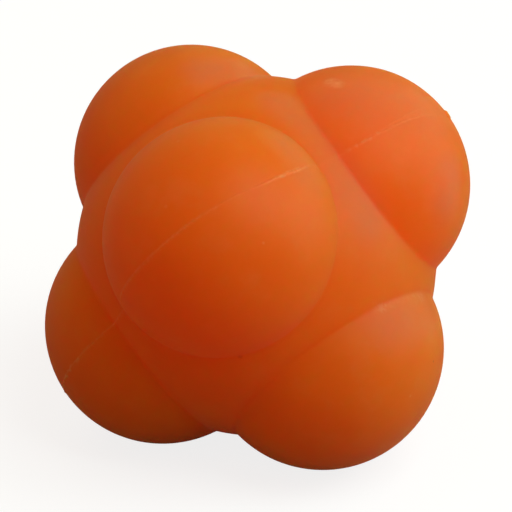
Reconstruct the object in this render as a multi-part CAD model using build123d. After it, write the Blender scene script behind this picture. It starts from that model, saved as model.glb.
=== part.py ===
from build123d import *
import math
import os

# Reaction ball: one solid moulding of silicone rubber.
# Six equal round lobes stand on a round core, one at each end of three axes that
# cross at right angles, so the ball jumps off in a new direction at every bounce.
#
# Millimetres, +Z up. The origin is the ball's centre. The ball is drawn as it comes
# to rest on a table: on three lobes, with the other three turned up between them.

# Driving dimensions.
overall_width = 68.0    # over two opposite lobes, tip to tip
lobe_diameter = 34.0    # of the sphere that each lobe is a cap of
core_diameter = 51.6    # of the sphere that shows between the lobes
crease_fillet = 1.2     # radius in the crease round each lobe's foot
flash_height = 0.2      # of the trimmed flash, off the surface that it runs over
flash_width = 0.4       # of the trimmed flash, across the parting line

# The same turn lays all six lobes: three at this angle above level, three below.
lobe_tilt = math.degrees(math.atan(1 / math.sqrt(2)))
front_lobe_azimuth = 270.0
left_lobe_azimuth = 150.0

core_radius = core_diameter / 2
lobe_radius = lobe_diameter / 2
lobe_reach = overall_width / 2 - lobe_radius


def mould_cavity(growth):
    """The ball without its flash, with every surface moved outwards by growth."""
    core = Sphere(core_radius + growth)
    lobes = []
    for axis in (Axis.X, Axis.Y, Axis.Z):
        for direction in (axis.direction, -axis.direction):
            centre = Plane(origin=direction * lobe_reach, z_dir=direction)
            lobes.append(centre * Sphere(lobe_radius + growth))
    # One lobe at a time: all six touch at the centre, where a single union can lose one.
    ball = core
    for lobe in lobes:
        ball += lobe
    creases = new_edges(core, *lobes, combined=ball)
    return fillet(creases, crease_fillet - growth)


def trimmed_flash():
    """The low rib that is left all round where the two mould halves closed."""
    slab = Box(2 * overall_width, 2 * overall_width, flash_width)
    return mould_cavity(flash_height) & slab


def lobe_direction(azimuth):
    """Where an upper lobe points: azimuth in degrees from +X towards +Y."""
    level = math.cos(math.radians(lobe_tilt))
    return Vector(
        level * math.cos(math.radians(azimuth)),
        level * math.sin(math.radians(azimuth)),
        math.sin(math.radians(lobe_tilt)),
    )


def ball_body():
    """The whole moulding, turned from its square axes onto three lobes."""
    at_rest = Plane(
        origin=(0, 0, 0),
        x_dir=lobe_direction(front_lobe_azimuth),
        z_dir=lobe_direction(left_lobe_azimuth),
    )
    return at_rest * (mould_cavity(0) + trimmed_flash())


os.makedirs("parts", exist_ok=True)
export_step(ball_body(), "parts/ball_body.step")
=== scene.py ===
# %% [markdown]
# # A reaction ball in silicone rubber
# A reaction ball is one lump of springy orange silicone: a round core with six round lobes on it. It
# comes out of a two-part mould, somebody trims the thin flash off along the parting line with a knife,
# and after that it is dropped, thrown and pocketed until it is a little dusty and scuffed. This lesson
# builds its skin as one closed mesh from a formula, raises the marks of mould and knife on it as real
# shape, and then mixes a silicone that lets red light through, with the dust and the wear painted on.

import math

import bmesh
import bpy
import numpy as np
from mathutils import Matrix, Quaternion, Vector, noise


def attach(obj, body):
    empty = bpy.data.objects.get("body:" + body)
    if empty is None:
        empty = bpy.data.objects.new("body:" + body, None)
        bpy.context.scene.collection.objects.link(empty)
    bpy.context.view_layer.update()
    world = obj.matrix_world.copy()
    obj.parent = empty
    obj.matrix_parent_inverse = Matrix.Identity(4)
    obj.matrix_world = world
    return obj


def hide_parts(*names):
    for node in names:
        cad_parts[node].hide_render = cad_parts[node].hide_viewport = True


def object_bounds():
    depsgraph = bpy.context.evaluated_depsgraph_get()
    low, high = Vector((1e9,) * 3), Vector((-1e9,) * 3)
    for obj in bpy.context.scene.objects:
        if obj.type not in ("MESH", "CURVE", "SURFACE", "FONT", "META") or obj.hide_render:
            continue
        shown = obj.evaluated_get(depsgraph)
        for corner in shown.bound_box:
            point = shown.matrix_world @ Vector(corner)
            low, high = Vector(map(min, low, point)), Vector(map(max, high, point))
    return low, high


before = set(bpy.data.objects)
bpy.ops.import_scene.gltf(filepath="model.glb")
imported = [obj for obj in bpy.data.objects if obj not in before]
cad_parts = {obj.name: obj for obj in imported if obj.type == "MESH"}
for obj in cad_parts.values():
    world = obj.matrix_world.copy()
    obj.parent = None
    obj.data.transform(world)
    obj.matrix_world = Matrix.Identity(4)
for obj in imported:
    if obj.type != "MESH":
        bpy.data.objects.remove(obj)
cad_low, cad_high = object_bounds()
cad_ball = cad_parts["ball_body"]
millimetre = 0.001


def in_mm(*lengths):
    """Lengths in millimetres, rounded for printing."""
    return [round(float(length) / millimetre, 2) for length in lengths]


# %% [markdown]
# ## Where the lobes point
# Six lobes sit like the faces of a die, at both ends of three axes at right angles. The ball rests on
# three of them, so every lobe axis makes the same angle with the floor. It is easiest to model the ball
# in its own square coordinates, where the lobes lie along x, y and z, and to turn the result once. The
# rows of one small matrix do that turn: they say where the three square axes point when the ball lies on
# the floor.

# %% Lobe axes
lobe_tilt = math.atan(1 / math.sqrt(2))


def upper_lobe(azimuth):
    """The direction of an upper lobe, by its azimuth in degrees from +X towards +Y."""
    turn = math.radians(azimuth)
    level = math.cos(lobe_tilt)
    return np.array([level * math.cos(turn), level * math.sin(turn), math.sin(lobe_tilt)])


front_lobe, right_lobe, left_lobe = upper_lobe(270), upper_lobe(30), upper_lobe(150)
square_to_rest = np.array([front_lobe, right_lobe, left_lobe])
print("lobe axes cross at right angles:", np.allclose(square_to_rest @ square_to_rest.T, np.eye(3)))

# %% [markdown]
# ## Measuring the CAD ball
# Sizes could be typed in again, but then the skin and the CAD model could drift apart. So they are
# measured on the CAD mesh. For any point p on a sphere of radius r whose centre lies a distance d out
# along an axis, p squared equals 2 d times the height of p along that axis, plus r squared minus d
# squared. That is a straight line, so a line fit through the points near a lobe's tip gives both d and r.
# The core is simply where the mesh comes nearest to the centre.

# %% Measure reach and radii
cad_points = np.array([v.co for v in cad_ball.data.vertices])
height_on_axis = cad_points @ left_lobe
squared_distance = (cad_points ** 2).sum(axis=1)
tip_share = 0.8
near_tip = height_on_axis > tip_share * height_on_axis.max()
slope, offset = np.polyfit(height_on_axis[near_tip], squared_distance[near_tip], 1)
lobe_reach = slope / 2
lobe_radius = math.sqrt(offset + lobe_reach ** 2)
core_radius = math.sqrt(squared_distance.min())
crease_fillet = 1.2 * millimetre
print("lobe reach, lobe radius, core radius in mm:", in_mm(lobe_reach, lobe_radius, core_radius))

# %% [markdown]
# ## The ball as a formula
# Seen from its centre, the ball shows every direction one distance to the skin, so a single function can
# hold the whole shape. Close to a lobe axis that distance belongs to the lobe's sphere, far from it to
# the core, and between them to the small round fillet of the crease. Spheres joined by a boolean would
# give the same outline but a ragged seam in every crease. A formula gives clean rows of faces there, and
# it can be asked again after each cut, so that new points land exactly on the skin.

# %% Distance from centre to skin
fillet_reach = core_radius + crease_fillet
core_edge = math.acos((fillet_reach ** 2 + lobe_reach ** 2 - (lobe_radius + crease_fillet) ** 2)
                      / (2 * lobe_reach * fillet_reach))
fillet_lean = math.atan2(fillet_reach * math.sin(core_edge), fillet_reach * math.cos(core_edge) - lobe_reach)
lobe_edge = math.atan2(lobe_radius * math.sin(fillet_lean), lobe_reach + lobe_radius * math.cos(fillet_lean))


def off_lobe_axis(directions):
    """The angle between each direction, in square coordinates, and the nearest lobe axis."""
    return np.arccos(np.clip(np.abs(directions).max(axis=1), 0, 1))


def skin_distance(directions):
    """How far the skin is from the ball's centre along unit directions in square coordinates."""
    angle = off_lobe_axis(directions)
    half_chord = np.sqrt(np.maximum(lobe_radius ** 2 - (lobe_reach * np.sin(angle)) ** 2, 0))
    lobe = lobe_reach * np.cos(angle) + half_chord
    off_fillet = angle - core_edge
    hollow = np.sqrt(np.maximum(crease_fillet ** 2 - (fillet_reach * np.sin(off_fillet)) ** 2, 0))
    fillet = fillet_reach * np.cos(off_fillet) - hollow
    return np.where(angle < lobe_edge, lobe, np.where(angle > core_edge, core_radius, fillet))


cad_directions = cad_points @ square_to_rest.T / np.sqrt(squared_distance)[:, None]
misfit = np.sqrt(squared_distance) - skin_distance(cad_directions)
print("crease edges in degrees:", [round(math.degrees(edge), 2) for edge in (lobe_edge, core_edge)])
print("CAD mesh off the formula in mm, at least and at most:", in_mm(misfit.min(), misfit.max()))

# %% [markdown]
# ## A skin of six square grids
# Each lobe gets one square grid, like one face of a die blown up to a ball. A trick keeps the rows tidy:
# every square ring of the grid is laid out as a circle round the lobe's axis. The rings inside run evenly
# down the lobe, a few close ones follow the fillet, and the last ones widen to the edge where the next
# grid begins. A plain globe of meridians would pinch at its poles, and an icosphere would cross the
# creases with jagged rows.

# %% Lay out the rings
lobe_rings = 26
fillet_rings = 6
core_rings = 4
all_rings = lobe_rings + fillet_rings + core_rings
eighth_turn = math.pi / 4


def ring_and_bearing(column, row):
    """The ring that a grid point lies on and its bearing round the lobe axis."""
    if abs(column) >= abs(row):
        bearing = eighth_turn * row / column if column else 0.0
        return abs(column), bearing if column >= 0 else bearing + 4 * eighth_turn
    bearing = 2 * eighth_turn - eighth_turn * column / row
    return abs(row), bearing if row >= 0 else bearing + 4 * eighth_turn


def ring_angle(ring, bearing):
    """The angle between the lobe axis and a ring, seen from the ball's centre."""
    if ring <= lobe_rings:
        lean = fillet_lean * ring / lobe_rings
        return math.atan2(lobe_radius * math.sin(lean), lobe_reach + lobe_radius * math.cos(lean))
    if ring <= lobe_rings + fillet_rings:
        return lobe_edge + (core_edge - lobe_edge) * (ring - lobe_rings) / fillet_rings
    from_side = (bearing + eighth_turn) % (2 * eighth_turn) - eighth_turn
    grid_edge = math.atan(1 / math.cos(from_side))
    return core_edge + (grid_edge - core_edge) * (ring - lobe_rings - fillet_rings) / core_rings


print("rings from a lobe's tip to the edge of its grid:", all_rings)

# %% [markdown]
# ## Six grids become one ball
# A grid is a list of directions, and the formula turns each direction into a point. Neighbouring grids
# share their edges, so their edge points fall on each other and can be welded. Building all six as
# separate objects and joining them would do the same with more steps. After the weld every edge must have
# a face on both sides, or the skin would leak.

# %% Build the blank ball
weld_distance = 0.01 * millimetre


def lobe_grid(axis, across, along):
    """Directions of one lobe's grid points, row by row."""
    directions = []
    for row in range(-all_rings, all_rings + 1):
        for column in range(-all_rings, all_rings + 1):
            ring, bearing = ring_and_bearing(column, row)
            angle = ring_angle(ring, bearing)
            sideways = math.cos(bearing) * across + math.sin(bearing) * along
            directions.append(math.cos(angle) * axis + math.sin(angle) * sideways)
    return directions


def blank_ball():
    """The bare ball as a bmesh in square coordinates: six grids, welded where they meet."""
    made = bmesh.new()
    row_length = 2 * all_rings + 1
    square_axes = np.eye(3)
    for number, square_axis in enumerate(square_axes):
        for side in (1, -1):
            axis = side * square_axis
            across = square_axes[(number + 1) % 3]
            directions = np.array(lobe_grid(axis, across, np.cross(axis, across)))
            places = directions * skin_distance(directions)[:, None]
            corners = [made.verts.new(place) for place in places]
            for row in range(row_length - 1):
                for column in range(row_length - 1):
                    first = row * row_length + column
                    ring_of_four = (first, first + 1, first + row_length + 1, first + row_length)
                    made.faces.new([corners[c] for c in ring_of_four])
    bmesh.ops.remove_doubles(made, verts=made.verts, dist=weld_distance)
    return made


def is_closed(made):
    """Whether every edge has a face on both sides."""
    return all(edge.is_manifold for edge in made.edges)


ball_mesh = blank_ball()
print("blank ball:", len(ball_mesh.verts), "points,", len(ball_mesh.faces), "faces")
print("closed:", is_closed(ball_mesh))

# %% [markdown]
# ## The parting line
# The two mould halves met in a plane through the middles of four lobes. The flash that squeezed out there
# was trimmed by hand, so what is left is a low lumpy rib that drifts to one side and back, in one spot by
# more than a millimetre. In some stretches the knife left a good deal of it, and in others hardly any. A
# place on the line is given by its longitude: 0 at the tip of the front lobe, 90 at the right lobe, 180
# at the back and 270 at the lower left lobe. Each row below is one place, and the line runs evenly from
# place to place. On the right lobe the knife was set down twice, so a second line leaves the first there.

# %% Course of the parting line
parting_line = [
    # longitude in degrees, drift to the left in mm, share of the flash that was left on
    (0, 0.0, 0.8), (5, -0.1, 0.4), (6.5, -0.2, 1.0), (8, -0.2, 0.3), (12, -0.3, 0.4), (15, -0.55, 0.1),
    (18, -0.65, 0.4), (25, -0.7, 1.0), (31, -0.6, 1.0), (33, -0.45, 0.2), (36, -0.25, 0.7), (40, -0.3, 0.2),
    (44, 0.0, 0.05), (50, -0.1, 0.1), (56, -0.4, 0.5), (68, -0.4, 0.5), (78, -0.6, 0.3), (86, -1.3, 0.1),
    (97, -0.3, 0.5), (125, 0.2, 0.8), (160, -0.1, 0.4), (195, 0.3, 0.8), (235, -0.2, 0.5), (270, 0.1, 0.6),
    (284, 0.0, 1.0), (298, 0.0, 0.7), (312, -0.1, 0.8), (320, -0.1, 0.3), (328, 0.3, 1.0), (343, 0.1, 0.9),
]
line_longitudes, line_drifts, line_shares = zip(*parting_line)


def longitude(places):
    """Degrees round the parting plane, from the front lobe towards the right one."""
    return np.degrees(np.arctan2(places[:, 1], places[:, 0])) % 360


def off_parting_line(places):
    """Signed distance from the trimmed line, in metres."""
    return places[:, 2] - np.interp(longitude(places), line_longitudes, line_drifts, period=360) * millimetre


def flash_left_on(places):
    """The share of the flash that the knife left on, 0 to 1."""
    return np.interp(longitude(places), line_longitudes, line_shares, period=360)


branch_start, branch_end = 58, 83
branch_slope = 0.065 * millimetre


def branch_gap(places):
    """How far a second cut line has run away from the first; 0 outside its own short stretch."""
    along = longitude(places) - branch_start
    return branch_slope * np.where((along > 0) & (along < branch_end - branch_start), along, 0)


print("the line drifts between", min(line_drifts), "and", max(line_drifts), "mm")
widest_gap = branch_slope * (branch_end - branch_start)
print("the second line ends this far from the first, in mm:", in_mm(widest_gap))

# %% [markdown]
# ## Places on a lobe
# The other marks are single spots. Each is named by its lobe, by how far it leans from the lobe's tip as
# seen from the lobe's own centre, and by its bearing: 0 is uphill, and it grows anticlockwise for
# somebody who looks at the tip. A spot is a short stroke between two such places, with half its width.

# %% Spots on the lobes
def on_lobe(lobe_axis, lean, bearing):
    """A point on a lobe's skin in square coordinates; lean and bearing are in degrees."""
    uphill = np.array([0.0, 0.0, 1.0]) - lobe_axis * lobe_axis[2]
    uphill /= np.linalg.norm(uphill)
    sideways = np.cross(lobe_axis, uphill)
    lean, bearing = math.radians(lean), math.radians(bearing)
    outward = math.cos(lean) * lobe_axis
    outward = outward + math.sin(lean) * (math.cos(bearing) * uphill + math.sin(bearing) * sideways)
    return square_to_rest @ (lobe_reach * lobe_axis + lobe_radius * outward)


def from_stroke(places, start, end):
    """The distance of each place from the straight stroke between two spots."""
    run = end - start
    share = np.clip((places - start) @ run / (run @ run), 0, 1)
    return np.linalg.norm(places - start - share[:, None] * run, axis=1)


trim_scar = on_lobe(right_lobe, 65, 1), on_lobe(right_lobe, 62.8, 5)
knife_nub = on_lobe(right_lobe, 2, 55), on_lobe(right_lobe, 4.6, 90)
scar_half_width, nub_half_width = 1.5 * millimetre, 0.65 * millimetre
for name, (start, end) in {"trim scar": trim_scar, "knife nub": knife_nub}.items():
    print(name, "from end to end in mm:", in_mm(np.linalg.norm(end - start)))

# %% [markdown]
# ## Finer faces where the marks are
# The rib is only a few tenths of a millimetre wide, and the grid's faces are nearly a millimetre. Making
# the whole ball that fine would take about a million faces. Instead the faces near a mark are cut in half
# both ways, three times over, each time in a narrower band, so that fine faces fade into coarse ones. A
# new point starts in the middle of a flat face, a little under the skin, so every point is laid back on
# the formula afterwards.

# %% Cut faces near the marks
rib_half_width = 0.35 * millimetre
bands = [1.6 * millimetre, 0.7 * millimetre, 0.22 * millimetre]


def outside_marks(places):
    """How far each place lies outside the nearest mark; the second cut line widens the first one's band."""
    half_gap = branch_gap(places) / 2
    return np.minimum.reduce([
        np.abs(off_parting_line(places) - half_gap) - half_gap - rib_half_width,
        from_stroke(places, *trim_scar) - scar_half_width,
        from_stroke(places, *knife_nub) - nub_half_width,
    ])


def lay_on_skin(made):
    """Moves every point straight out or in until it lies on the ball's skin."""
    places = np.array([v.co for v in made.verts])
    directions = places / np.linalg.norm(places, axis=1)[:, None]
    for vertex, place in zip(made.verts, directions * skin_distance(directions)[:, None]):
        vertex.co = place


for band in bands:
    faces = list(ball_mesh.faces)
    middles = np.array([f.calc_center_median() for f in faces])
    close = outside_marks(middles) < band
    edges = dict.fromkeys(e for f, is_close in zip(faces, close) if is_close for e in f.edges)
    bmesh.ops.subdivide_edges(ball_mesh, edges=list(edges), cuts=1, use_grid_fill=True)
    lay_on_skin(ball_mesh)
many_sided = [f for f in ball_mesh.faces if len(f.verts) > 4]
bmesh.ops.triangulate(ball_mesh, faces=many_sided)
print("after cutting:", len(ball_mesh.faces), "faces, still closed:", is_closed(ball_mesh))

# %% [markdown]
# ## Raising the marks
# Each mark is a low hill on the skin, added up point by point and pushed out along the skin's own
# direction: the rib of flash with its lumps, the scar where the last big tag was cut off, a nub where the
# knife came off the line, and a faint unevenness of the whole surface, because rubber shrinks a little
# unevenly as it cools. The hills are a few tenths of a millimetre high at most, so it is their smooth
# sides that make them look like rubber. They all need the same three helpers and the same two sets of
# smooth random lumps.

# %% Hills on the skin
def hill(distance, half_width):
    """1 in the middle of a mark, falling smoothly to 0 at its half width."""
    return np.clip(1 - (distance / half_width) ** 2, 0, 1) ** 2


def lumps(places, size, seed):
    """Smooth random numbers from about -1 to 1 that change over the given size."""
    shift = Vector((seed, -seed, 2.0 * seed))
    return np.array([noise.noise(Vector(p) / size + shift) for p in places])


def near_longitude(places, centre, reach):
    """1 at one longitude of the parting line, falling smoothly to 0 on both sides."""
    away = (longitude(places) - centre + 180) % 360 - 180
    return hill(away, reach)


skin_points = np.array([v.co for v in ball_mesh.verts])
slow_lumps = lumps(skin_points, 2.2 * millimetre, 3.0)
quick_lumps = lumps(skin_points, 0.6 * millimetre, 5.0)
print("slow lumps lie between", round(slow_lumps.min(), 2), "and", round(slow_lumps.max(), 2))

# %% [markdown]
# ## How high each mark stands
# The rib is two sums: one for its width, which grows where the flash was thick or wide, and one for its
# height, which the knife's share scales down. Both take some of the lumps, so no two millimetres of it
# are alike. The scar and the nub are plain hills. Only the higher of the two ribs counts where they
# overlap, as flash is no thicker there.

# %% Heights of the marks
off_line = off_parting_line(skin_points)
left_on = flash_left_on(skin_points)
thick_stretch = near_longitude(skin_points, 27, 12)
wide_stretch = near_longitude(skin_points, 336, 24)
branch_middle, branch_reach = (branch_start + branch_end) / 2, (branch_end - branch_start) / 2
branch_stretch = near_longitude(skin_points, branch_middle, branch_reach)
rib_width = (0.18 + 0.12 * thick_stretch + 0.14 * wide_stretch + 0.03 * slow_lumps) * millimetre
first_rib = hill(off_line, rib_width)
second_rib_width = 0.16 * millimetre
second_rib = hill(off_line - branch_gap(skin_points), second_rib_width) * branch_stretch
rib_height = (0.08 + 0.05 * slow_lumps + 0.08 * quick_lumps) * left_on * millimetre
scar_hill = hill(from_stroke(skin_points, *trim_scar), scar_half_width)
scar_height = (0.05 + 0.05 * slow_lumps) * millimetre
nub_hill = hill(from_stroke(skin_points, *knife_nub), nub_half_width)
nub_height = 0.3 * millimetre
shrink_height, shrink_size = 0.03 * millimetre, 9 * millimetre
unevenness = shrink_height * lumps(skin_points, shrink_size, 1.0)

second_rib_share = 0.6
raised = rib_height * np.maximum(first_rib, second_rib_share * second_rib) + scar_height * scar_hill
raised = raised + nub_height * nub_hill + unevenness
print("tallest mark in mm:", in_mm(raised.max()))

# %% [markdown]
# ## Where handling shows
# Dust and wear aren't even. Dust lies where the ball is gripped and dropped, so it is a soft patch here
# and there on the lobes and a strip down the core. The sharp-looking edge beside a crease rubs first and
# turns pale. Flash that was cut leaves a row of pale flecks in three stretches. Here each of them gets
# its place and its width.

# %% Places of dust and flecks
def stroke_mask(lobe_axis, start, end, half_width):
    """1 along a stroke between two (lean, bearing) places on a lobe, falling to 0 at its half width."""
    ends = on_lobe(lobe_axis, *start), on_lobe(lobe_axis, *end)
    return hill(from_stroke(skin_points, *ends), half_width)


def on_core(turn, slope):
    """A point on the core, by its longitude in degrees and its rise off the parting plane."""
    turn = math.radians(turn)
    return core_radius * np.array([math.cos(turn), math.sin(turn), slope]) / math.hypot(1, slope)


wear_half_width = 1.1 * millimetre
flash_half_width = 0.36 * millimetre
fleck_half_width = 0.55 * millimetre
flecks = np.clip(0.1 + 2.2 * quick_lumps, 0, 1)
dust_strokes = [
    # lobe, start and end of the stroke as (lean, bearing), half width in mm, strength
    (right_lobe, (61, 14), (24, 41), 9, 1.0),
    (right_lobe, (38, 100), (52, 108), 5, 1.0),
    (left_lobe, (68, -3), (78, 19), 5, 1.0),
    (front_lobe, (66, -50), (70, -30), 5, 0.7),
    (-left_lobe, (70, 3), (70, -31), 5, 0.7),
]
core_strip = on_core(48, 0.5), on_core(48, -0.4)
core_strip_half_width, core_strip_strength = 5 * millimetre, 0.9
dotted_stretch = np.maximum.reduce([
    0.55 * near_longitude(skin_points, 28, 9),
    0.4 * near_longitude(skin_points, 57, 10),
    near_longitude(skin_points, 287, 16),
])
print("strokes of dust on the lobes:", len(dust_strokes))

# %% [markdown]
# ## Numbers for the paint
# Everything the paint has to know about a place is kept on the mesh as a number from 0 to 1 per point:
# flash, flecks, scar, crease, dust and wear. The shader could work the same distances out again with
# dozens of nodes, but they are known here already, and a number on a point costs nothing to read.

# %% Masks for the paint
crease_half_width = 2.5 * millimetre
skin_directions = skin_points / np.linalg.norm(skin_points, axis=1)[:, None]
crease_gap = np.abs(off_lobe_axis(skin_directions) - (lobe_edge + core_edge) / 2) * core_radius
dust_masks = [
    strength * stroke_mask(lobe_axis, start, end, half_width * millimetre)
    for lobe_axis, start, end, half_width, strength in dust_strokes
]
dust_masks.append(core_strip_strength * hill(from_stroke(skin_points, *core_strip), core_strip_half_width))
paint_masks = {
    "flash": np.maximum(hill(off_line, flash_half_width + rib_width / 2), second_rib) * left_on,
    "flecks": hill(off_line, fleck_half_width) * dotted_stretch * flecks,
    "scar": scar_hill * np.clip(0.7 + 0.6 * quick_lumps, 0, 1),
    "crease": hill(crease_gap, crease_half_width),
    "dust": np.maximum.reduce(dust_masks),
    "wear": stroke_mask(-left_lobe, (80, 3), (79, -31), wear_half_width),
}
print("share of points with dust:", round(float((paint_masks["dust"] > 0.1).mean()), 2))

# %% [markdown]
# ## Turning the skin onto its lobes
# Now the marks are raised and the ball is turned from its square coordinates onto its three lobes. No
# moulding comes out quite regular, and here the lower right lobe is swollen up, back and to the right, by
# about a third of a millimetre in the middle of the swelling, with a smooth falloff to its far side and
# round its foot. A bigger radius for the whole lobe would also have moved its crease and its underside.

# %% Turn and swell
swollen_lobe = -left_lobe
swelling = np.array([0.2, 0.2, 0.2]) * millimetre
swollen_spot = on_lobe(swollen_lobe, 70, -35) @ square_to_rest
swollen_reach = 26 * millimetre
foot_start, foot_end = 40, 50

ball_mesh.normal_update()
outward = np.array([v.normal for v in ball_mesh.verts])
final_points = (skin_points + outward * raised[:, None]) @ square_to_rest
off_lobe_tip = np.degrees(np.arccos(final_points @ swollen_lobe / np.linalg.norm(final_points, axis=1)))
on_the_lobe = np.clip((foot_end - off_lobe_tip) / (foot_end - foot_start), 0, 1)
on_the_lobe = on_the_lobe * on_the_lobe * (3 - 2 * on_the_lobe)
share = on_the_lobe * hill(np.linalg.norm(final_points - swollen_spot, axis=1), swollen_reach)
final_points = final_points + share[:, None] * swelling
print("most swelling of the lobe in mm:", in_mm(np.linalg.norm(swelling)))

# %% [markdown]
# ## From points to an object
# The points go back into the mesh, and the numbers for the paint go with it as point attributes. Smooth
# shading is set on every face: the fillets are real faces here, so no edge needs to be kept sharp. The
# skin is hung on the only body, and the CAD ball is hidden, so that only the skin is drawn.

# %% Make the ball
for vertex, point in zip(ball_mesh.verts, final_points):
    vertex.co = point
for face in ball_mesh.faces:
    face.smooth = True
bmesh.ops.recalc_face_normals(ball_mesh, faces=ball_mesh.faces)

skin = bpy.data.meshes.new("silicone_skin")
ball_mesh.to_mesh(skin)
ball_mesh.free()
for name, values in paint_masks.items():
    layer = skin.attributes.new(name, "FLOAT", "POINT")
    layer.data.foreach_set("value", values.astype(np.float32))

ball = bpy.data.objects.new("silicone_ball", skin)
bpy.context.scene.collection.objects.link(ball)
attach(ball, "root")
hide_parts("ball_body")
triangles = sum(len(face.vertices) - 2 for face in skin.polygons)
print("ball:", len(skin.vertices), "points,", triangles, "triangles")

# %% [markdown]
# ## Shader sums as plain sums
# A procedural finish is mostly arithmetic on noise. Wiring one Math node per sign by hand hides the idea,
# so a small class wraps a socket and lets Python's own signs add the nodes. Its reflected forms let a
# plain number stand on the left of the sign too.

# %% Socket arithmetic
class Value:
    """A number in a shader. Each sign adds one Math node."""

    def __init__(self, finish, socket):
        self.finish = finish
        self.socket = socket

    def combine(self, operation, first, second):
        """A Math node on two numbers."""
        return self.finish.node("ShaderNodeMath", {"operation": operation}, {0: first, 1: second})

    def __add__(self, other):
        return self.combine("ADD", self, other)

    def __sub__(self, other):
        return self.combine("SUBTRACT", self, other)

    def __rsub__(self, other):
        return self.combine("SUBTRACT", other, self)

    def __mul__(self, other):
        return self.combine("MULTIPLY", self, other)

    __radd__ = __add__
    __rmul__ = __mul__


print("signs that add a node: +, - and *")

# %% [markdown]
# ## Every other node from one method
# Noise, colour mixes, smooth steps and shaders aren't sums on numbers. They all come from one method that
# takes the node's type, its settings and the values or links of its sockets. A setting can change which
# sockets a node has, so the settings come first. The few kinds that come up again and again get a short
# name of their own.

# %% Node maker
class Finish:
    """A node tree that is being filled, of a material or of the world."""

    def __init__(self, owner):
        owner.use_nodes = True
        self.tree = owner.node_tree
        self.tree.nodes.clear()

    def node(self, kind, settings=(), sockets=(), give=0):
        """Adds a node: its settings first, then the values or links of its sockets; gives one output."""
        made = self.tree.nodes.new(kind)
        for name, setting in dict(settings).items():
            setattr(made, name, setting)
        for name, value in dict(sockets).items():
            if isinstance(value, Value):
                self.tree.links.new(value.socket, made.inputs[name])
            else:
                made.inputs[name].default_value = value
        outputs = made.outputs
        return Value(self, outputs[give]) if len(outputs) else made

    def mix(self, share, first, second):
        """A colour between two others; share may be a number in the shader."""
        settings = {"data_type": "RGBA", "clamp_factor": True}
        return self.node("ShaderNodeMix", settings, {0: share, 6: first, 7: second}, give=2)

    def between(self, value, low, high):
        """0 below low, 1 above high, and a smooth step between them."""
        settings = {"interpolation_type": "SMOOTHSTEP"}
        sockets = {"Value": value, "From Min": low, "From Max": high, "To Min": 0.0, "To Max": 1.0}
        return self.node("ShaderNodeMapRange", settings, sockets)

    def noise(self, place, size, detail=2.0, roughness=0.5):
        """Soft random numbers round 0.5 that change over the given size in metres."""
        sockets = {"Vector": place, "Scale": 1 / size, "Detail": detail, "Roughness": roughness}
        return self.node("ShaderNodeTexNoise", {"noise_dimensions": "3D"}, sockets, give="Fac")

    def mask(self, name):
        """A number that was kept on the mesh points."""
        return self.node("ShaderNodeAttribute", {"attribute_name": name}, give="Fac")


def colour(red, green, blue):
    """A colour as a socket wants it, from linear light values."""
    return (red, green, blue, 1.0)


print("shader helpers ready")

# %% [markdown]
# ## The silicone
# Silicone is a clear rubber with pigment stirred in. Light enters it, and red light wanders several
# millimetres before it comes out again, while green and blue are soaked up almost at once. That is why no
# shadow on it is grey. Subsurface scattering does this, with a long radius for red and short ones for
# green and blue. The shader's random walk uses about a twelfth of the radius it is given, so 100 mm here
# lets red wander about eight.
#
# The rest is paint: soft patches of bloom, greyer dust where the ball is gripped, pale rubber where flash
# was trimmed, a few specks, and painted shade: a slightly deeper, darker orange in the creases. First come
# the patterns that break the paint up, from blotches as wide as a fingertip down to grain.

# %% Patterns on the silicone
silicone = bpy.data.materials.new("orange_silicone")
mixer = Finish(silicone)
place = mixer.node("ShaderNodeTexCoord", give="Object")
flash, pale_flecks, scar = mixer.mask("flash"), mixer.mask("flecks"), mixer.mask("scar")
crease, dust, wear = mixer.mask("crease"), mixer.mask("dust"), mixer.mask("wear")

blotches = mixer.noise(place, 11 * millimetre, detail=3.0)
grain = mixer.noise(place, 0.9 * millimetre, detail=4.0, roughness=0.6)
fine_flecks = mixer.between(mixer.noise(place, 0.6 * millimetre, detail=3.0), 0.45, 0.65)
bloom_patches = mixer.between(mixer.noise(place, 6 * millimetre, detail=5.0, roughness=0.62), 0.48, 0.72)
dusty = dust * (0.5 + mixer.noise(place, 3 * millimetre, detail=5.0, roughness=0.65))
print("nodes for patterns and masks:", len(mixer.tree.nodes))

# %% [markdown]
# ## Coats of paint
# The colour is built like a painted model. It starts from two close oranges in slow blotches, and then
# each coat covers a share of what is below it. Only the pale flecks and the scar cover more than half,
# because real silicone is coloured all through and only its surface changes. Specks are coats too, each a
# small round spot with a soft rim.

# %% Colour of the silicone
orange = colour(0.84, 0.135, 0.001)
light_orange = colour(0.86, 0.148, 0.002)
# painted shade: a darker, deeper orange that stands for the shade in the creases
painted_crease_shade = colour(0.82, 0.110, 0.001)
bloom = colour(0.82, 0.25, 0.07)
dust_grey = colour(0.42, 0.175, 0.12)
trimmed = colour(0.90, 0.36, 0.15)
grime = colour(0.25, 0.05, 0.01)
specks = [
    # lobe, lean, bearing, radius, strength, colour
    (front_lobe, 48, 26, 0.35 * millimetre, 0.18, trimmed),
    (front_lobe, 15, 67, 0.4 * millimetre, 0.12, trimmed),
    (front_lobe, 34.5, -96, 0.3 * millimetre, 0.2, trimmed),
    (left_lobe, 40, 60, 0.3 * millimetre, 0.25, trimmed),
    (-left_lobe, 34, -5, 0.3 * millimetre, 0.25, trimmed),
    (-left_lobe, 48, -31, 0.3 * millimetre, 0.5, grime),
    (-front_lobe, 30, 80, 0.3 * millimetre, 0.5, grime),
    (-front_lobe, 52, -20, 0.25 * millimetre, 0.4, trimmed),
    (front_lobe, 81.5, -160, 0.55 * millimetre, 0.22, grime),
]
speck_core = 0.3
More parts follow.
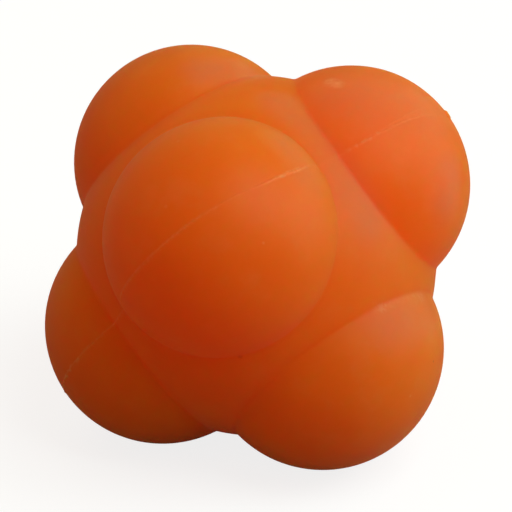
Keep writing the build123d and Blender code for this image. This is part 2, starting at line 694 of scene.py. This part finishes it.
coats = [
    # how much of each coat lies on the skin, and its colour
    # painted shade in the creases
    (crease * 0.1, painted_crease_shade),
    (bloom_patches * 0.14 * (1 - crease), bloom),
    (grain * 0.09, bloom),
    (dusty * 0.28, dust_grey),
    (flash * (0.11 + fine_flecks * 0.14), trimmed),
    (pale_flecks * 0.62, trimmed),
    (scar * 0.6, trimmed),
    (wear * (0.12 + fine_flecks * 0.25), trimmed),
]
for lobe_axis, lean, bearing, size, strength, tint in specks:
    spot = on_lobe(lobe_axis, lean, bearing) @ square_to_rest
    away = mixer.node("ShaderNodeVectorMath", {"operation": "DISTANCE"}, {0: place, 1: spot}, give="Value")
    coats.append(((1 - mixer.between(away, speck_core * size, size)) * strength, tint))

skin_colour = mixer.mix(mixer.between(blotches, 0.3, 0.7), orange, light_orange)
for share, tint in coats:
    skin_colour = mixer.mix(share, skin_colour, tint)
print("coats and specks:", len(coats))

# %% [markdown]
# ## The shader itself
# A fine matte bloom keeps the highlight low, so the roughness is middling and goes up and down with the
# patterns. The grain also tilts the surface a little, by a bump of a few hundredths of a millimetre. A
# trace of sheen stands for the dust that lights up where the skin turns away from the eye.

# %% Silicone finish
bare_roughness = 0.46
roughness = bare_roughness + bloom_patches * 0.1 + dusty * 0.12 + (grain - 0.5) * 0.12
roughness = roughness + scar * 0.1 - crease * 0.03
relief = grain * 0.5 + mixer.noise(place, 0.25 * millimetre, detail=2.0) * 0.25
bump_depth = 0.05 * millimetre
bump = mixer.node("ShaderNodeBump", sockets={"Strength": 0.4, "Distance": bump_depth, "Height": relief})
shader = mixer.node("ShaderNodeBsdfPrincipled", {"subsurface_method": "RANDOM_WALK"}, {
    "Base Color": skin_colour,
    "Roughness": roughness,
    "Normal": bump,
    "IOR": 1.41,
    "Specular IOR Level": 0.2,
    "Subsurface Weight": 1.0,
    "Subsurface Radius": (1.0, 0.05, 0.025),
    "Subsurface Scale": 100 * millimetre,
    "Sheen Weight": 0.06,
    "Sheen Roughness": 0.5,
})
mixer.node("ShaderNodeOutputMaterial", sockets={"Surface": shader})
ball.data.materials.append(silicone)
print("silicone finish:", len(mixer.tree.nodes), "nodes")

# %% [markdown]
# ## The floor
# The ball lies on a plain pale floor. A camera sees a white floor as white only when a lot of light falls
# on it, and that much light would wash out the orange. So three quarters of what the camera sees is an
# even white glow, and the last quarter is the real matte floor, which keeps the shadow under the ball. To
# all other rays the floor is a dim warm matte with a trace of the glow in reflections.

# %% Floor
floor_mesh = bpy.data.meshes.new("floor")
floor_half = 2.0
corner_signs = [(-1, -1), (1, -1), (1, 1), (-1, 1)]
floor_corners = [(x * floor_half, y * floor_half, cad_low.z) for x, y in corner_signs]
floor_mesh.from_pydata(floor_corners, [], [(0, 1, 2, 3)])
floor = bpy.data.objects.new("floor", floor_mesh)
bpy.context.scene.collection.objects.link(floor)

floor_paint = bpy.data.materials.new("pale_floor")
mixer = Finish(floor_paint)
is_camera = mixer.node("ShaderNodeLightPath", give="Is Camera Ray")
is_glossy = mixer.node("ShaderNodeLightPath", give="Is Glossy Ray")
is_transmission = mixer.node("ShaderNodeLightPath", give="Is Transmission Ray")
pale, warm_dim = colour(0.9, 0.9, 0.9), colour(0.36, 0.2, 0.12)
matte = mixer.node("ShaderNodeBsdfDiffuse", sockets={"Color": mixer.mix(is_camera, warm_dim, pale)})
glow_strength = 1.1
white = mixer.node("ShaderNodeEmission", sockets={"Color": colour(1, 1, 1), "Strength": glow_strength})
glow_for_camera, glow_in_reflections = 0.75, 0.03
seen = is_camera * glow_for_camera + (is_glossy + is_transmission) * glow_in_reflections
floor_mix = mixer.node("ShaderNodeMixShader", sockets={0: seen, 1: matte, 2: white})
mixer.node("ShaderNodeOutputMaterial", sockets={"Surface": floor_mix})
floor.data.materials.append(floor_paint)
print("floor height in mm:", in_mm(cad_low.z))

# %% [markdown]
# ## The room
# The room round the ball is one even colour. It is dim and warm, like light thrown back by wooden
# furniture, and it fills the shadows without a highlight. A second background, plain white, is there for
# the camera alone. A picture of a real room would do the same work with more colours, which nobody would
# see on a matte ball.

# %% Room
world = bpy.data.worlds.new("studio")
bpy.context.scene.world = world
mixer = Finish(world)
is_camera = mixer.node("ShaderNodeLightPath", give="Is Camera Ray")
room_strength = 0.3
warm_room = colour(1.0, 0.62, 0.22)
dim = mixer.node("ShaderNodeBackground", sockets={"Color": warm_room, "Strength": room_strength})
bright = mixer.node("ShaderNodeBackground", sockets={"Color": colour(1, 1, 1), "Strength": 1.0})
room = mixer.node("ShaderNodeMixShader", sockets={0: is_camera, 1: dim, 2: bright})
mixer.node("ShaderNodeOutputWorld", sockets={"Surface": room})
print("strength of the dim room:", room_strength)

# %% [markdown]
# ## Soft lamps
# Cool light comes from the right, as from a tall window: one large soft lamp stands high, another low.
# Two weak lamps, one behind and one on the left, keep the far sides readable and leave no highlight. Each
# lamp is described by the direction it stands in, seen from the ball, so that it is easy to move about.

# %% Lamps
def from_ball(azimuth, elevation):
    """A direction seen from the ball: azimuth 0 is towards -Y, 90 towards +X; both in degrees."""
    turn, rise = math.radians(azimuth), math.radians(elevation)
    level = math.cos(rise)
    return Vector((level * math.sin(turn), -level * math.cos(turn), math.sin(rise)))


lamp_distance = 1.2
lamp_side = 0.9
cool_light = (0.82, 1.0, 1.0)


def soft_lamp(name, azimuth, elevation, watts, tint=(1.0, 1.0, 1.0), mirrored=True):
    """A square area lamp that faces the ball; one that isn't mirrored leaves no highlight."""
    light = bpy.data.lights.new(name, "AREA")
    light.shape = "SQUARE"
    light.size = lamp_side
    light.energy = watts
    light.color = tint
    lamp = bpy.data.objects.new(name, light)
    direction = from_ball(azimuth, elevation)
    lamp.location = direction * lamp_distance
    lamp.rotation_euler = (-direction).to_track_quat("-Z", "Y").to_euler()
    lamp.visible_camera = False
    lamp.visible_glossy = mirrored
    bpy.context.scene.collection.objects.link(lamp)
    return lamp


lamps = [
    soft_lamp("window_lamp", azimuth=82, elevation=57, watts=9.1, tint=cool_light),
    soft_lamp("low_window_lamp", azimuth=112, elevation=18, watts=6.5, tint=cool_light),
    soft_lamp("back_lamp", azimuth=193, elevation=42, watts=0.9, mirrored=False),
    soft_lamp("left_fill_lamp", azimuth=270, elevation=65, watts=1.3, mirrored=False),
]
print("lamps:", {lamp.name: lamp.data.energy for lamp in lamps})

# %% [markdown]
# ## The camera
# A long lens half a metre away shows the ball in calm proportions, with little perspective. The camera
# stands about 18 degrees to the right of the front lobe and looks down by about 29 degrees. A small shift
# of the lens places the ball in the frame without turning the camera.

# %% Camera
camera_data = bpy.data.cameras.new("camera")
camera_data.lens = 243.6
camera_data.sensor_width = 36.0
camera_data.shift_x, camera_data.shift_y = -0.00115, -0.0011
camera_data.clip_start = 0.01
camera = bpy.data.objects.new("camera", camera_data)
toward_camera = from_ball(18.34, 28.82)
camera_distance = 0.4967
camera_roll = math.radians(-0.7)
camera.location = toward_camera * camera_distance
camera.rotation_mode = "QUATERNION"
camera.rotation_quaternion = (-toward_camera).to_track_quat("-Z", "Y") @ Quaternion((0, 0, 1), camera_roll)
bpy.context.scene.collection.objects.link(camera)
bpy.context.scene.camera = camera
bpy.context.scene.view_settings.view_transform = "Standard"
print("camera at", [round(c, 3) for c in camera.location])
